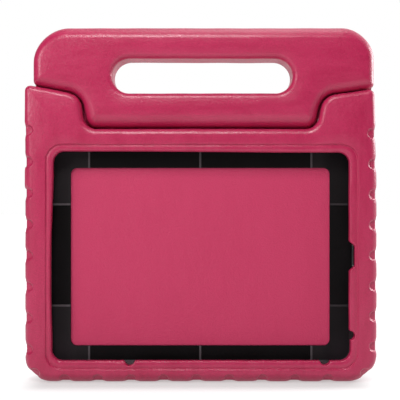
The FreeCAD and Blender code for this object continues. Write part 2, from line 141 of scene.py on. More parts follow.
# ------------------------------------------------------------------ colours as displayed, 0-255
PINK_LOW, PINK_HIGH, PINK_PORE = (182, 25, 76), (188, 29, 82), (140, 20, 54)
PINK_STREAK, PINK_FIBRE = (210, 58, 104), (210, 58, 103)
PANEL_PINK, SHEEN_PINK, CAP_PINK = (208, 42, 95), (255, 205, 220), (186, 40, 80)
SOCKET_LINING = (40, 37, 40)
# the frame's third colour is painted light on its lower corners, the fourth a painted highlight on its rib
# tops and walls
FRAME_LOW, FRAME_HIGH, FRAME_LIT_CORNER, FRAME_RIB_HIGHLIGHT = (7, 4, 5), (13, 9, 11), (40, 32, 38), (92, 84, 88)
TUBE_BLACK, NYLON_BLACK, RUBBER_BLACK = (24, 22, 24), (30, 28, 30), (16, 15, 16)
ROD_GREY, SPRING_GREY = (200, 200, 204), (150, 148, 146)

# where a painted zone starts and where it is full, in metres
PANEL_FADE = (0.0006, 0.0002)        # off the panel's depth
LINING_X, LINING_Y = ((0.1215, 0.1225), (0.134, 0.132)), ((-0.0092, -0.0084), (0.0012, 0.0006))
LINING_HALF_H = (0.0130, 0.0122)
# RIB_TOP_Y bounds the painted highlight on the rib tops and walls; the other two bound the lower corners that
# are painted paler as painted light
RIB_TOP_Y, LIT_CORNER_X, LIT_CORNER_Z = (0.00035, 0.00015), (0.095, 0.112), (0.045, 0.015)
RIB_HIGHLIGHT_X = (0.096, 0.106)              # the painted highlight on the ribs is weaker past this, to the right

# ------------------------------------------------------------------ surroundings, metres and watts
WORLD_AIM = (0.55, 0.8, 0.2)         # the surroundings are bright behind the object and to its right
WORLD_FADE = (0.0, 0.8, 0.05, 1.0)
FLOOR_ALBEDO = 0.35
FLOOR_GLOW, FLOOR_REAR = 0.76, 0.34    # the white floor's own glow, and what the rear adds
FLOOR_LIGHT = 0.66               # share of that glow that falls on the case
FLOOR_SHADE = 0.3                # painted contact shadow: less glow where the case stands
REAR_Y, SHADE_X, SHADE_Y = (0.05, 0.6), (0.145, 0.12), (-0.040, -0.018)
LIGHTS = (("front_top", (-0.10, -0.75, 1.04), 0.32, 7.1), ("left", (-0.78, -0.70, 0.52), 0.35, 3.6),
          ("top_rear", (0.1, 0.1, 1.2), 0.6, 2.4), ("rim", (0.8, 0.30, 0.45), 0.4, 4.0))
LIGHT_TARGET = (0.0, 0.0, 0.14)
CAMERA_DISTANCE, WIDTH_SEEN, CAMERA_X, CAMERA_Z = 0.56, 0.3155, -0.0002, 0.1455


# ------------------------------------------------------------------ distance helpers
def crown(inward, drop, width):
    """How far a cushioned face has fallen, from drop at its edge to nothing at width inwards."""
    return drop * np.clip(1.0 - np.maximum(inward, 0.0) / width, 0.0, 1.0) ** 2


def step(low, high, value):
    """0 below low, 1 above high, smooth between; low may be the larger."""
    t = np.clip((value - low) / (high - low), 0.0, 1.0)
    return t * t * (3.0 - 2.0 * t)


def round_max(a, b, radius):
    """Where both solids are, with the edge between them rounded."""
    a, b = a + radius, b + radius
    outside = np.hypot(np.maximum(a, 0.0), np.maximum(b, 0.0))
    return outside + np.minimum(np.maximum(a, b), 0.0) - radius


def carve(solid, tool, radius):
    """solid with tool taken away, the new edge rounded."""
    return round_max(solid, -tool, radius)


def stadium(u, v, length, width):
    """Distance to a round-ended bar, length along u."""
    reach = (length - width) / 2
    return np.hypot(np.maximum(np.abs(u) - reach, 0.0), v) - width / 2


def cross(a, b):
    """Cross product of two vectors in the XZ plane."""
    return a[0] * b[1] - a[1] * b[0]


class Outline:
    """Closed outline in XZ of straight runs joined by tangent arcs, from (x, z, radius) corners."""

    def __init__(self, corners):
        points = [np.array(corner[:2], float) for corner in corners]
        following = points[1:] + points[:1]
        area = sum(cross(a, b) for a, b in zip(points, following))
        self.sides = list(zip(points, following))
        self.arcs, starts, ends = [], [], []
        for i, radius in enumerate(corner[2] for corner in corners):
            into = points[i] - points[i - 1]
            into /= np.linalg.norm(into)
            out = following[i] - points[i]
            out /= np.linalg.norm(out)
            half_turn = math.acos(float(np.clip(into @ out, -1, 1))) / 2
            run = radius * math.tan(half_turn)
            inward = (out - into) / np.linalg.norm(out - into)
            reach = radius / math.cos(half_turn)
            centre = points[i] + inward * reach
            starts.append(points[i] - into * run)
            ends.append(points[i] + out * run)
            convex = cross(into, out) * area > 0
            self.arcs.append((centre, radius, reach, starts[i] - centre, ends[i] - centre, convex))
        self.runs = [(ends[i - 1], starts[i]) for i in range(len(corners))]

    def distance(self, x, z):
        """Signed distance, negative inside."""
        x, z = np.broadcast_arrays(x, z)
        best = np.full(x.shape, 1e9)
        inside = np.zeros(x.shape, bool)
        for a, b in self.sides:
            crossed = (a[1] > z) != (b[1] > z)
            slope = (b[0] - a[0]) / ((b[1] - a[1]) or 1.0)
            inside ^= crossed & (x < a[0] + slope * (z - a[1]))
        for a, b in self.runs:
            d = b - a
            t = np.clip(((x - a[0]) * d[0] + (z - a[1]) * d[1]) / max(float(d @ d), 1e-9), 0.0, 1.0)
            best = np.minimum(best, np.hypot(x - a[0] - d[0] * t, z - a[1] - d[1] * t))
        for centre, radius, reach, u, v, convex in self.arcs:
            p = (x - centre[0], z - centre[1])
            sense = math.copysign(1.0, cross(u, v))
            within = (cross(u, p) * sense >= 0) & (cross(p, v) * sense >= 0)
            far = np.hypot(*p)
            best = np.where(within, np.minimum(best, np.abs(far - radius)), best)
            inside = np.where(within & (far > radius) & (far <= reach), not convex, inside)
        return np.where(inside, -best, best)


def rectangle(width, height, radius, x=0.0, z=0.0):
    """Outline of a rectangle with round corners about (x, z)."""
    w, h = width / 2, height / 2
    return Outline([(x - w, z - h, radius), (x + w, z - h, radius),
                    (x + w, z + h, radius), (x - w, z + h, radius)])


# ------------------------------------------------------------------ line between handle and body
def crossing(p, q, r, s):
    """Where the line p-q meets the line r-s, all (x, z)."""
    d1, d2 = (q[0] - p[0], q[1] - p[1]), (s[0] - r[0], s[1] - r[1])
    t = cross((r[0] - p[0], r[1] - p[1]), d2) / cross(d1, d2)
    return (p[0] + d1[0] * t, p[1] + d1[1] * t)


def shifted(p, q, distance, side):
    """Line p-q moved towards the handle; side is -1 on the left, 1 on the right."""
    dx, dz = q[0] - p[0], q[1] - p[1]
    length = math.hypot(dx, dz)
    nx, nz = side * dz / length * distance, -side * dx / length * distance
    return (p[0] + nx, p[1] + nz), (q[0] + nx, q[1] + nz)


def seam(points, side, distance, outer_x):
    """Corners of one side's seam line, from its outer end to the notch floor."""
    outer, knee, foot = points
    slope = shifted(outer, knee, distance, side)
    wall = shifted(knee, foot, distance, side)
    floor = ((0.0, foot[1] + distance), (1.0, foot[1] + distance))
    edge = ((outer_x, 0.0), (outer_x, 1.0))
    return [crossing(*slope, *edge), crossing(*slope, *wall), crossing(*wall, *floor)]


def seam_corners(distance, left_x, right_x, end_r):
    """Corners of the whole seam, right end to left end, with their radii."""
    right = seam(SEAM_RIGHT, 1, distance, right_x)
    left = seam(SEAM_LEFT, -1, distance, left_x)
    knee_r, foot_r = KNEE_R + distance, FOOT_R - distance
    return [(*right[0], end_r), (*right[1], knee_r), (*right[2], foot_r),
            (*left[2], foot_r), (*left[1], knee_r), (*left[0], end_r)]


def handle_line(distance):
    """Outline of the handle, its lower side at a distance from the seam line."""
    return Outline([(HANDLE_LEFT_X, HANDLE_TOP_Z, HANDLE_CORNER_LEFT_R),
                    (HANDLE_RIGHT_X, HANDLE_TOP_Z, HANDLE_CORNER_RIGHT_R)]
                   + seam_corners(distance, HANDLE_LEFT_X, HANDLE_RIGHT_X, HANDLE_END_R))


BODY_LINE = Outline([(-HALF_W, 0.0, BODY_CORNER_LEFT_R), (HALF_W, 0.0, BODY_CORNER_R)]
                    + seam_corners(BODY_LIP, -HALF_W, HALF_W, SHOULDER_CORNER_R))
HANDLE_FRONT_LINE = handle_line(HANDLE_LIP)
HANDLE_REAR_LINE = handle_line(HANDLE_REAR)
SWEPT_LINE = Outline(seam_corners(BODY_REAR, -HALF_W - 5, HALF_W + 5, 2.0)
                     + [(-HALF_W - 5, HANDLE_TOP_Z + 5, 2.0), (HALF_W + 5, HANDLE_TOP_Z + 5, 2.0)])
WINDOW = rectangle(WINDOW_W, WINDOW_H, WINDOW_R, z=BAY_Z)
LIP_LINE = rectangle(WINDOW_W + LIP_LEFT + LIP_RIGHT, WINDOW_H + LIP_TOP + LIP_BOTTOM, LIP_STEP_R,
                     (LIP_RIGHT - LIP_LEFT) / 2, BAY_Z + (LIP_TOP - LIP_BOTTOM) / 2)
BAY = rectangle(2 * BAY_HALF_W, 2 * BAY_HALF_H, BAY_R, z=BAY_Z)
LIP_NOTCH = Outline([(WINDOW_W / 2 - 1, BAY_Z - NOTCH_INNER_H / 2 - 1, 0.1),
                     (NOTCH_X, BAY_Z - NOTCH_OUTER_H / 2, 1.0),
                     (NOTCH_X, BAY_Z + NOTCH_OUTER_H / 2, 1.0),
                     (WINDOW_W / 2 - 1, BAY_Z + NOTCH_INNER_H / 2 + 1, 0.1)])


# ------------------------------------------------------------------ foam body
def lip_edge(x, z):
    """Distance to the window that the lip leaves; its edge strays a little from a true rectangle."""
    (upper, *upper_z), (lower, *lower_z), inset = LEFT_STRAY
    left = upper * step(*upper_z, z) + lower * step(*lower_z, z) - inset
    wave, wave_z = RIGHT_WAVE
    corner, *corner_z = RIGHT_CORNER
    right = RIGHT_STRAY + wave * np.sin(z / wave_z + 1.0) + corner * step(*corner_z, z)
    fall, *fall_x = TOP_FALL
    top = TOP_STRAY - fall * step(*fall_x, x)
    return WINDOW.distance(x - np.where(x < 0, left, right), z - np.where(z > BAY_Z, top, BOTTOM_STRAY))


def unevenness(x, y, z):
    """Slow hollows and swells that moulded foam has, in millimetres."""
    return (0.10 * np.sin(x / 23 + 1.3 + 0.6 * np.sin(z / 31)) * np.sin(z / 19 + 0.4)
            + 0.07 * np.sin(x / 9.1 + z / 13.7 + 0.8) * np.sin(y / 11 + 0.5)
            + 0.05 * np.sin(x / 5.3 - z / 7.9))


def groove_dip(along, inward):
    """Depth of one grip groove: a soft dip at the side, a round-ended finger over the front and back."""
    reach = np.maximum(inward - (GROOVE_REACH - GROOVE_HALF), 0.0)
    finger = step(0.0, -GROOVE_EDGE, np.hypot(along, reach) - GROOVE_HALF)
    finger = finger * (GROOVE_SIDE_DEPTH + (GROOVE_DEPTH - GROOVE_SIDE_DEPTH) * step(*GROOVE_DEEPER, inward))
    wave = GROOVE_SIDE_DEPTH * step(GROOVE_WAVE, WAVE_FLAT, np.abs(along)) * step(*WAVE_FADE, inward)
    return np.maximum(finger, wave)


def grip_grooves(x, z, inward):
    """Depth of all grip grooves: up both sides, along the base and one round each lower corner."""
    dip = 0.0
    for side, lowest, pitch in SIDES:
        nearest = np.clip(np.round((z - lowest) / pitch), 0, SIDE_GROOVES - 1)
        dip = np.maximum(dip, groove_dip(z - lowest - nearest * pitch, inward) * (x * side > HALF_W - 30))
    for i in range(BASE_GROOVES):
        place = BASE_FIRST_X + i * BASE_PITCH
        dip = np.maximum(dip, groove_dip(x - place, inward) * (z < 30))
    centre = HALF_W - BODY_CORNER_R
    along = (np.abs(x) - centre + z - BODY_CORNER_R) / math.sqrt(2)
    corner = (np.abs(x) > centre - 8) & (z < BODY_CORNER_R + 8)
    return np.maximum(dip, groove_dip(along, inward) * corner)


def fold_space(x, y, z):
    """Distance to the space that the handle sweeps through as it folds back."""
    back, up = y - HINGE_Y, z - HINGE_Z
    far = np.hypot(back, up)
    angle = np.arctan2(back, up)
    late = angle > FOLD
    turned = angle - FOLD
    height = np.where(angle < 0, up, np.where(late, far * np.cos(turned), far))
    space = SWEPT_LINE.distance(*np.broadcast_arrays(x, HINGE_Z + height))
    tongue_path = HINGE_Y - np.hypot(HINGE_Y - TONGUE_Y, np.maximum(-up, 0.0))
    lip_rear = np.maximum(tongue_path - LIP_AIR, LIP_REAR_Y)
    space = np.where(angle < 0, np.maximum(space, lip_rear - y), space)
    behind = np.maximum(far * np.sin(turned) - FOLD_REAR, -height)
    return np.where(late, np.maximum(space, behind), space)


def tunnel(solid, section, start, x, radius):
    """solid with a hole along X, from x = start outwards; section is the distance to its outline."""
    out = x - start if start > 0 else start - x
    return carve(solid, np.maximum(section, -out), radius)


def side_lean(x, z):
    """How far along X the moulding's two sides stand from the CAD's outline."""
    right = LEAN_RIGHT - LEAN_RIGHT_LESS * step(*LEAN_RIGHT_Z, z)
    left = LEAN_LEFT_LESS * step(*LEAN_LEFT_Z, z) - LEAN_LEFT
    return np.where(x < 0, left, right) * step(*LEAN_X, np.abs(x))


def front_dip(x, z):
    """How deep the front lies: the border's slope, the step round the lip, its crease and the lip's swell."""
    past_lip = LIP_LINE.distance(x, z)
    slope = np.clip(1.0 - past_lip / BORDER_W, 0.0, 1.0)
    bead = np.clip(1.0 - (past_lip + LIP_BEAD) ** 2 / LIP_BEAD ** 2, 0.0, 1.0)
    crease = 1.0 - step(0.0, CREASE_HALF_W, np.abs(past_lip))
    drop = LIP_STEP * step(LIP_STEP_HALF_W, -LIP_STEP_HALF_W, past_lip)
    return BORDER_DROP * slope ** 1.5 + drop - BEAD_RISE * bead + CREASE_DEPTH * crease


def block(x, y, z):
    """The body as one cushion, with its grip grooves."""
    edge = BODY_LINE.distance(x - side_lean(x, z), z)
    dip = front_dip(x, z)
    edge_drop = crown(-edge, CROWN_DROP, CROWN_W)
    depth = np.maximum(-y - HALF_D + dip + edge_drop, y - HALF_D + edge_drop / 2)
    base, shoulder = step(*BASE_FADE_Z, z), step(*SHOULDER_FADE_Z, z)
    radius = BODY_EDGE_R + BASE_EDGE_MORE * base - SHOULDER_EDGE_LESS * shoulder
    return round_max(edge, depth, radius) + grip_grooves(x, z, -edge)


def open_bay(solid, beside, x, y, z):
    """solid with the window, the tablet's bay, the lip's notch and its nicks."""
    front = y - LIP_BACK_Y - 1
    solid = carve(solid, np.maximum(beside, front), LIP_EDGE_R)
    bay = np.maximum(BAY.distance(x, z), np.maximum(LIP_BACK_Y - y, y - PANEL_Y))
    solid = carve(solid, bay, BAY_EDGE_R)
    solid = carve(solid, np.maximum(LIP_NOTCH.distance(x, z), front), NOTCH_EDGE_R)
    for nick_x, nick_z, nick_r in LIP_NICKS:
        nick = np.hypot(x - nick_x, z - nick_z) - nick_r
        solid = carve(solid, np.maximum(nick, front), NOTCH_EDGE_R)
    return solid


def side_openings(solid, x, y, z):
    """solid with its sockets, the power key's pocket and the slot for the volume keys."""
    socket, right, left = y - SOCKET_Y, BAY_HALF_W - 2, 2 - BAY_HALF_W
    solid = tunnel(solid, stadium(z - BAY_Z, socket, PORT_H, PORT_D), right, x, SLOT_EDGE_R)
    for dz in (-SPEAKER_DZ, SPEAKER_DZ):
        speaker = stadium(z - BAY_Z - dz, socket, SPEAKER_H, SPEAKER_D)
        solid = tunnel(solid, speaker, right, x, SLIT_EDGE_R)
    solid = tunnel(solid, np.hypot(z - JACK_Z, socket) - JACK_R, left, x, SLOT_EDGE_R)
    stem = stadium(z - KEY_Z, socket, KEY_STEM_H + 2 * KEY_SLACK, KEY_STEM_D + 2 * KEY_SLACK)
    solid = tunnel(solid, stem, left, x, BAY_EDGE_R)
    pocket = stadium(z - KEY_Z, socket, KEY_H + 2 * KEY_SLACK, KEY_D + 2 * KEY_SLACK)
    solid = tunnel(solid, pocket, KEY_T + KEY_ROOM - KEY_PROUD - HALF_W, x, POCKET_EDGE_R)
    volume = np.maximum(stadium(x - VOLUME_X, z - VOLUME_Z, VOLUME_W, VOLUME_H), LIP_BACK_Y - y)
    return carve(solid, volume, VOLUME_EDGE_R)


def hinge_bores(solid, x, y, z):
    """solid with the bores for rod, bushes and caps in both shoulders."""
    round_axis = np.hypot(y - HINGE_Y, z - HINGE_Z)
    for side in (-1, 1):
        solid = tunnel(solid, round_axis - ROD_BORE_R, side * (BUSH_X0 - 14), x, SLIT_EDGE_R)
        solid = tunnel(solid, round_axis - BUSH_BORE_R, side * BUSH_X0, x, BORE_EDGE_R)
        solid = tunnel(solid, round_axis - POCKET_R, side * POCKET_X0, x, CAP_EDGE_R)
    return solid


def body_field(x, y, z):
    """Signed distance to the foam body, near enough to be meshed and settled."""
    beside = lip_edge(x, z)
    solid = open_bay(block(x, y, z), beside, x, y, z)
    solid = carve(solid, fold_space(x, y, z), FOLD_EDGE_R)
    solid = hinge_bores(side_openings(solid, x, y, z), x, y, z)
    return solid + unevenness(x, y, z) * step(0.0, 3.0, beside)


# ------------------------------------------------------------------ carry handle
def handle_field(x, y, z):
    """Signed distance to the handle; its foot's rear rolls round the hinge, behind the body's lip."""
    back, under = np.maximum(y - HINGE_Y, 0.0), HINGE_Z - z
    rolled = np.where(under > 0, HINGE_Z - np.hypot(back, under), z)
    hole = stadium(x - HOLE_X, z - HOLE_Z, HOLE_L, HOLE_H)
    outline = HANDLE_FRONT_LINE.distance(x, z)
    fall = crown(-outline, HANDLE_CROWN_DROP, HANDLE_CROWN_W) + crown(hole, HOLE_CROWN_DROP, HOLE_CROWN_W)
    depth = np.abs(y) - HANDLE_HALF_D + fall
    radius = HANDLE_EDGE_R + HANDLE_TOP_MORE * step(*TOP_FADE_Z, z) + HANDLE_FOOT_MORE * step(*FOOT_FADE_Z, z)
    front = round_max(outline, depth, radius)
    rear = round_max(HANDLE_REAR_LINE.distance(*np.broadcast_arrays(x, rolled)), depth, radius)
    solid = np.minimum(front, round_max(rear, TONGUE_Y - y, TONGUE_EDGE_R))
    solid = carve(solid, hole, HOLE_EDGE)
    round_axis = np.hypot(y - HINGE_Y, under)
    solid = carve(solid, round_axis - ROD_BORE_R, BORE_EDGE_R)
    solid = carve(solid, np.maximum(round_axis - TUBE_BORE_R, np.abs(x) - TUBE_END_X), BORE_EDGE_R)
    return solid + unevenness(x + 40, y, z + 15)


# ------------------------------------------------------------------ power key pad
def key_field(x, y, z):
    """Signed distance to the power key's pad and stem."""
    top = -HALF_W - KEY_PROUD
    across, along = y - SOCKET_Y, z - KEY_Z
    section = stadium(along, across, KEY_H, KEY_D)
    dome = KEY_DOME * (across / (KEY_D / 2)) ** 2
    pad = round_max(section, np.maximum(top + dome - x, x - top - KEY_T), KEY_EDGE_R)
    stem_section = stadium(along, across, KEY_STEM_H, KEY_STEM_D)
    stem = round_max(stem_section, np.maximum(top + KEY_T - 1 - x, x - KEY_STEM_X), BORE_EDGE_R)
    return np.minimum(pad, stem)


# ------------------------------------------------------------------ from a field to a mesh
def slopes(field, points, h=0.02):
    """Value and gradient of the field at the points."""
    here = field(*points.T)
    parts = []
    for axis in range(3):
        moved = points.copy()
        moved[:, axis] += h
        parts.append((field(*moved.T) - here) / h)
    return here, np.stack(parts, 1)


def surface_net(field, low, high, cell):
    """Quads round the field's zero level, one vertex in each cell that it passes through."""
    axes = [np.arange(a - cell, b + 2 * cell, cell) for a, b in zip(low, high)]
    x, y, z = np.meshgrid(*axes, indexing="ij", sparse=True)
    values = field(x, y, z).astype(np.float32)
    inside = values < 0
    cells = [n - 1 for n in inside.shape]
    total = np.zeros(cells + [3], np.float32)
    count = np.zeros(cells, np.float32)
    quads = []
    for axis in range(3):
        first = [slice(None)] * 3
        second = [slice(None)] * 3
        first[axis], second[axis] = slice(0, -1), slice(1, None)
        a, b = values[tuple(first)], values[tuple(second)]
        crossed = inside[tuple(first)] != inside[tuple(second)]
        spot = np.argwhere(crossed)
        share = a[crossed] / (a[crossed] - b[crossed])
        u, v = [k for k in range(3) if k != axis]
        limits = np.array(cells)
        around = []
        for du, dv in ((0, 0), (1, 0), (1, 1), (0, 1)):
            near = spot.copy()
            near[:, u] -= du
            near[:, v] -= dv
            around.append(near)
        usable = np.all([np.all((n >= 0) & (n < limits), axis=1) for n in around], axis=0)
        point = spot.astype(np.float32)
        point[:, axis] += share
        for near in around:
            np.add.at(total, tuple(near[usable].T), point[usable])
            np.add.at(count, tuple(near[usable].T), 1)
        flat = np.stack([np.ravel_multi_index(n[usable].T, cells) for n in around], 1)
        outward = inside[tuple(first)][crossed][usable]
        if axis == 1:
            outward = ~outward
        flat[~outward] = flat[~outward][:, ::-1]
        quads.append(flat)
    used = np.flatnonzero(count.ravel())
    points = total.reshape(-1, 3)[used] / count.ravel()[used][:, None]
    points = points * cell + np.array([axis[0] for axis in axes])
    number = np.zeros(count.size, np.int64)
    number[used] = np.arange(len(used))
    return points.astype(float), number[np.concatenate(quads)]


def settle(field, points, cell, passes=3):
    """Moves points along the gradient onto the zero level."""
    for _ in range(passes):
        value, slope = slopes(field, points)
        steepness = np.maximum((slope ** 2).sum(1), 0.2)
        move = -slope * (value / steepness)[:, None]
        points = points + np.clip(move, -cell / 2, cell / 2)
    return points


def foam_object(name, field, low, high, cell, faces):
    """Closed mesh of the field's zero level with about that many triangles, shaded by its gradient."""
    points, quads = surface_net(field, low, high, cell)
    points = settle(field, points, cell)
    mesh = bpy.data.meshes.new(name)
    mesh.from_pydata((points * MM).tolist(), [], quads.tolist())
    piece = bpy.data.objects.new(name, mesh)
    bpy.context.scene.collection.objects.link(piece)
    if faces < 2 * len(quads):
        thin = piece.modifiers.new("thin", "DECIMATE")
        thin.ratio = faces / (2 * len(quads))
        thin.use_collapse_triangulate = True
        graph = bpy.context.evaluated_depsgraph_get()
        piece.data = bpy.data.meshes.new_from_object(piece.evaluated_get(graph))
        piece.data.name = name
        piece.modifiers.clear()
    mesh = piece.data
    place = np.empty(len(mesh.vertices) * 3)
    mesh.vertices.foreach_get("co", place)
    place = settle(field, place.reshape(-1, 3) / MM, cell, 1)
    mesh.vertices.foreach_set("co", (place * MM).ravel())
    mesh.polygons.foreach_set("use_smooth", np.ones(len(mesh.polygons), bool))
    mesh.update()
    _, slope = slopes(field, place)
    normals = slope / np.maximum(np.linalg.norm(slope, axis=1), 1e-9)[:, None]
    mesh.normals_split_custom_set_from_vertices(normals.tolist())
    return piece


def cad_box(node, room=3.5):
    """A CAD node's box in millimetres, with room for the skin round it."""
    low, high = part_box(node)
    return [v / MM - room for v in low], [v / MM + room for v in high]


# ------------------------------------------------------------------ materials
class Nodes:
    """Short way to wire a material's nodes."""

    def __init__(self, name):
        self.material = bpy.data.materials.new(name)
        self.material.use_nodes = True
        self.tree = self.material.node_tree
        self.shader = self.tree.nodes["Principled BSDF"]
        place = self.tree.nodes.new("ShaderNodeTexCoord")
        self.place = place.outputs["Object"]

    def add(self, kind, settings=None, **inputs):
        """New node; inputs go by name, or by number as i0, i1 and so on."""
        node = self.tree.nodes.new(kind)
        for key, value in (settings or {}).items():
            setattr(node, key, value)
        for key, value in inputs.items():
            name = key.replace("_", " ")
            self.put(node.inputs[name if name in node.inputs else int(key[1:])], value)
        return node

    def put(self, socket, value):
        if isinstance(value, bpy.types.NodeSocket):
            self.tree.links.new(value, socket)
        else:
            socket.default_value = value

    def noise(self, scale, detail=2.0, stretch=(1, 1, 1)):
        """Noise about 0.5; scale is in features per metre."""
        spread = self.add("ShaderNodeMapping", Vector=self.place, Scale=stretch)
        made = self.add("ShaderNodeTexNoise", Vector=spread.outputs[0], Scale=scale, Detail=detail,
                        Roughness=0.5)
        return made.outputs["Fac"]

    def math(self, operation, a, b=0.0, c=0.0):
        return self.add("ShaderNodeMath", {"operation": operation}, i0=a, i1=b, i2=c).outputs[0]

    def ramp(self, value, low, high, out_low=0.0, out_high=1.0):
        """Smooth change from out_low to out_high as value goes from low to high."""
        made = self.add("ShaderNodeMapRange", {"interpolation_type": "SMOOTHSTEP"}, Value=value,
                        i1=low, i2=high, i3=out_low, i4=out_high)
        return made.outputs[0]

    def mix(self, share, a, b):
        """Colour a with a share of colour b."""
        node = self.tree.nodes.new("ShaderNodeMix")
        node.data_type = "RGBA"
        for index, value in ((0, share), (6, a), (7, b)):
            self.put(node.inputs[index], value)
        return node.outputs[2]

    def bump(self, height, strength, distance, normal=None):
        node = self.add("ShaderNodeBump", Strength=strength, Distance=distance, Height=height)
        if normal is not None:
            self.put(node.inputs["Normal"], normal)
        return node.outputs[0]

    def set(self, **inputs):
        for key, value in inputs.items():
            self.put(self.shader.inputs[key.replace("_", " ")], value)
        return self.material


def rgb(red, green, blue):
    """Linear colour from 0-255 display values."""
    parts = [(v / 255 / 12.92) if v / 255 <= 0.04045 else ((v / 255 + 0.055) / 1.055) ** 2.4
             for v in (red, green, blue)]
    return (*parts, 1.0)


def foam_material(name, streak, panel=None, socket=None):
    """Pink closed-cell foam with a moulded skin: pores, faint flow streaks and soft creases."""
    n = Nodes(name)
    pores = n.noise(1500, 3.0)
    grain = n.noise(520, 2.0)
    flow = n.noise(60, 3.0, streak)
    fibre = n.noise(260, 3.0, streak)
    patches = n.noise(14, 2.0)
    tone = n.mix(n.ramp(patches, 0.3, 0.7), rgb(*PINK_LOW), rgb(*PINK_HIGH))
    tone = n.mix(n.ramp(flow, 0.35, 0.65, 0.0, 0.25), tone, rgb(*PINK_STREAK))
    tone = n.mix(n.ramp(fibre, 0.38, 0.62, 0.0, 0.18), tone, rgb(*PINK_FIBRE))
    tone = n.mix(n.ramp(pores, 0.35, 0.62, 0.30, 0.0), tone, rgb(*PINK_PORE))
    shine = n.ramp(grain, 0.3, 0.7, 0.32, 0.40)
    fine = n.bump(pores, 0.30, 0.00025)
    if panel:
        creases = n.add("ShaderNodeTexVoronoi", {"feature": "DISTANCE_TO_EDGE"}, Vector=n.place, Scale=620)
        cells = n.ramp(creases.outputs[0], 0.0, 0.12)
        zone = panel(n)
        tone = n.mix(n.math("MULTIPLY", zone, 0.7), tone, rgb(*PANEL_PINK))
        shine = n.math("MULTIPLY_ADD", zone, 0.14, shine)
        fine = n.bump(n.math("MULTIPLY", cells, zone), 0.5, 0.0002, fine)
    if socket:
        tone = n.mix(socket(n), tone, rgb(*SOCKET_LINING))
    middle = n.bump(grain, 0.30, 0.0006, fine)
    normal = n.bump(flow, 0.25, 0.0008, middle)
    return n.set(Base_Color=tone, Roughness=shine, Normal=normal, Sheen_Weight=0.02, Sheen_Roughness=0.4,
                 Sheen_Tint=rgb(*SHEEN_PINK), Specular_IOR_Level=0.65)


def panel_zone(n):
    """1 at the depth of the panel behind the tablet, 0 in front of it and behind it."""
    depth = n.add("ShaderNodeSeparateXYZ", i0=n.place).outputs[1]
    return n.ramp(n.math("ABSOLUTE", n.math("SUBTRACT", depth, PANEL_Y * MM)), *PANEL_FADE)


def socket_zone(n):
    """1 on the dark lining of the charging socket, behind the lip."""
    across, depth, height = n.add("ShaderNodeSeparateXYZ", i0=n.place).outputs
    level = n.math("ABSOLUTE", n.math("SUBTRACT", height, BAY_Z * MM))
    zone = n.ramp(level, *LINING_HALF_H)
    for place, limits in ((across, LINING_X), (depth, LINING_Y)):
        for limit in limits:
            zone = n.math("MULTIPLY", zone, n.ramp(place, *limit))
    return zone


def plastic_material(name, colour, roughness, grain_scale=900, grain=0.25):
    """Moulded plastic with a fine grain and faint cloudiness."""
    n = Nodes(name)
    rough = n.noise(grain_scale, 3.0)
    cloud = n.noise(40, 2.0)
    lighter = tuple(min(1.0, v * 1.7 + 0.004) for v in colour[:3]) + (1.0,)
    tone = n.mix(n.ramp(cloud, 0.35, 0.7, 0.0, 0.4), colour, lighter)
    normal = n.bump(rough, grain, 0.0003)
    shine = n.ramp(cloud, 0.3, 0.7, roughness - 0.05, roughness + 0.07)
    return n.set(Base_Color=tone, Roughness=shine, Normal=normal)


def frame_material():
    """Black plastic of the inner frame: a painted highlight on the rib tops and walls, and painted light that
    makes the lower corners paler.
    """
    n = Nodes("black_plastic_frame")
    rough = n.noise(800, 3.0)
    cloud = n.noise(30, 3.0)
    across, depth, height = n.add("ShaderNodeSeparateXYZ", i0=n.place).outputs
    rib = n.ramp(depth, *RIB_TOP_Y)
    # painted light: the frame's lower corners are painted paler, as where more light reaches them
    low = n.ramp(height, *LIT_CORNER_Z)
    side = n.ramp(n.math("ABSOLUTE", across), *LIT_CORNER_X)
    lit_corners = n.math("MULTIPLY", low, side)
    tone = n.mix(n.ramp(cloud, 0.35, 0.7), rgb(*FRAME_LOW), rgb(*FRAME_HIGH))
    tone = n.mix(n.math("MULTIPLY", lit_corners, 0.6), tone, rgb(*FRAME_LIT_CORNER))
    # painted highlight on the rib tops and walls, weaker to the right
    rib_highlight = n.ramp(across, *RIB_HIGHLIGHT_X, 0.8, 0.3)
    tone = n.mix(n.math("MULTIPLY", rib, rib_highlight), tone, rgb(*FRAME_RIB_HIGHLIGHT))
    return n.set(Base_Color=tone, Roughness=n.ramp(cloud, 0.3, 0.7, 0.55, 0.68),
                 Normal=n.bump(rough, 0.3, 0.0003), Specular_IOR_Level=0.12)


def steel_material(name, colour, roughness):
    """Bright steel with fine marks round the hinge's axis."""
    n = Nodes(name)
    brushed = n.noise(300, 2.0, (8, 1, 1))
    shine = n.ramp(brushed, 0.3, 0.7, roughness - 0.06, roughness + 0.1)
    return n.set(Base_Color=colour, Metallic=1.0, Roughness=shine, Normal=n.bump(brushed, 0.15, 0.0001))


def paint(node, material):
    """Gives a CAD node its material."""
    mesh_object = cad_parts[node]
    if not mesh_object.material_slots:
        mesh_object.data.materials.append(material)
    for place in mesh_object.material_slots:
        place.material = material


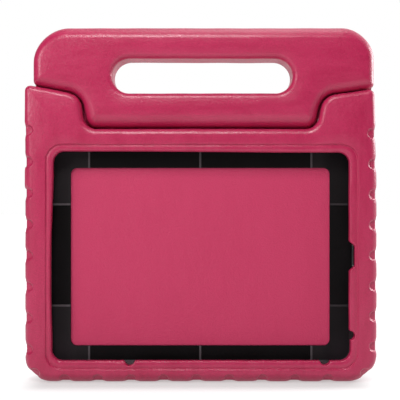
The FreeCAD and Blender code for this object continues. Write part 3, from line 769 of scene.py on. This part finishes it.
# ------------------------------------------------------------------ pieces
def make_foam():
    """Skins of the two mouldings and the key pad, which stand for their CAD nodes as solid foam."""
    cell = FINE_CELL
    share = 1.0
    body = foam_object("foam_body_skin", body_field, *cad_box("foam_body"), cell, int(BODY_FACES * share))
    body.data.materials.append(foam_material("pink_foam_body", (1.0, 1.0, 0.25), panel_zone, socket_zone))
    handle = foam_object("carry_handle_skin", handle_field, *cad_box("carry_handle"), cell,
                         int(HANDLE_FACES * share))
    handle.data.materials.append(foam_material("pink_foam_handle", (0.22, 1.0, 1.0)))
    key = foam_object("power_button_skin", key_field, *cad_box("power_button_pad"), KEY_CELL, KEY_FACES)
    key.data.materials.append(foam_material("pink_foam_key", (1.0, 1.0, 1.0)))
    for piece, rider, node, finish in ((body, "case", "foam_body", "pink_foam"),
                                       (handle, "handle", "carry_handle", "pink_foam_handle"),
                                       (key, "power_key", "power_button_pad", "pink_foam_key")):
        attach(piece, rider)
        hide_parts(node)


def paint_hardware():
    """Materials of the CAD nodes that are shown as they are."""
    paint("inner_frame", frame_material())
    paint("handle_tube", plastic_material("black_plastic_tube", rgb(*TUBE_BLACK), 0.45))
    nylon = plastic_material("black_nylon", rgb(*NYLON_BLACK), 0.5)
    rubber = plastic_material("washer_rubber", rgb(*RUBBER_BLACK), 0.75)
    rod = steel_material("rod_steel", rgb(*ROD_GREY), 0.28)
    spring = steel_material("spring_steel", rgb(*SPRING_GREY), 0.32)
    cap = plastic_material("pink_cap", rgb(*CAP_PINK), 0.4, 1200, 0.2)
    paint("hinge_rod", rod)
    for side in ("left", "right"):
        paint(f"shoulder_bush_{side}", nylon)
        paint(f"friction_washer_{side}", rubber)
        paint(f"spring_washer_{side}", spring)
        paint(f"rod_clip_{side}", spring)
        paint(f"hinge_cap_{side}", cap)


# ------------------------------------------------------------------ floor, light and camera
def make_floor():
    """Plain white floor with a painted contact shadow: it glows a little less where the case stands."""
    bpy.ops.mesh.primitive_plane_add(size=12.0, location=(0, 0, 0))
    floor = bpy.context.object
    floor.name = "floor"
    n = Nodes("floor_white")
    across, depth = n.add("ShaderNodeSeparateXYZ", i0=n.place).outputs[:2]
    rear = n.ramp(depth, *REAR_Y, 0.0, FLOOR_REAR)
    open_glow = n.math("ADD", FLOOR_GLOW, rear)
    # painted contact shadow: less glow under the case and just in front of its base
    beside = n.ramp(n.math("ABSOLUTE", across), *SHADE_X)
    under = n.math("MULTIPLY", n.ramp(depth, *SHADE_Y), beside)
    glow = n.math("MULTIPLY_ADD", under, -FLOOR_SHADE, open_glow)
    seen = n.tree.nodes.new("ShaderNodeLightPath").outputs["Is Camera Ray"]
    glow = n.math("MULTIPLY", glow, n.math("MAXIMUM", seen, FLOOR_LIGHT))
    n.set(Base_Color=(FLOOR_ALBEDO, FLOOR_ALBEDO, FLOOR_ALBEDO, 1), Roughness=0.9, Specular_IOR_Level=0.1,
          Emission_Color=(1, 1, 1, 1), Emission_Strength=glow)
    floor.data.materials.append(n.material)


def make_surroundings():
    """White to the camera, and as a light bright on the far side and to the right."""
    world = bpy.data.worlds.new("studio")
    world.use_nodes = True
    tree = world.node_tree
    ways = tree.nodes.new("ShaderNodeTexCoord")
    aim = tree.nodes.new("ShaderNodeVectorMath")
    aim.operation = "DOT_PRODUCT"
    aim.inputs[1].default_value = WORLD_AIM
    fade = tree.nodes.new("ShaderNodeMapRange")
    seen = tree.nodes.new("ShaderNodeLightPath")
    whiter = tree.nodes.new("ShaderNodeMath")
    whiter.operation = "MAXIMUM"
    for index, value in enumerate(WORLD_FADE):
        fade.inputs[index + 1].default_value = value
    for a, b in ((ways.outputs["Generated"], aim.inputs[0]), (aim.outputs["Value"], fade.inputs[0]),
                 (fade.outputs[0], whiter.inputs[0]), (seen.outputs["Is Camera Ray"], whiter.inputs[1]),
                 (whiter.outputs[0], tree.nodes["Background"].inputs[1])):
        tree.links.new(a, b)
    tree.nodes["Background"].inputs[0].default_value = (1, 1, 1, 1)
    bpy.context.scene.world = world
    bpy.context.scene.view_settings.view_transform = "Standard"


def soft_light(name, place, target, size, power):
    """Square area light that faces its target."""
    data = bpy.data.lights.new(name, "AREA")
    data.shape = "SQUARE"
    data.size = size
    data.energy = power
    light = bpy.data.objects.new(name, data)
    light.location = place
    light.rotation_euler = (Vector(target) - Vector(place)).to_track_quat("-Z", "Y").to_euler()
    bpy.context.scene.collection.objects.link(light)


def make_camera():
    """The photo's view: from the front, level with the middle of the case."""
    data = bpy.data.cameras.new("camera")
    data.sensor_width = 36.0
    data.lens = data.sensor_width * CAMERA_DISTANCE / WIDTH_SEEN
    camera = bpy.data.objects.new("camera", data)
    camera.location = (CAMERA_X, -CAMERA_DISTANCE - HALF_D * MM, CAMERA_Z)
    camera.rotation_euler = (math.pi / 2, 0, 0)
    bpy.context.scene.collection.objects.link(camera)
    bpy.context.scene.camera = camera


make_foam()
paint_hardware()
make_floor()
make_surroundings()
for light_name, light_place, light_size, light_power in LIGHTS:
    soft_light(light_name, light_place, LIGHT_TARGET, light_size, light_power)
make_camera()
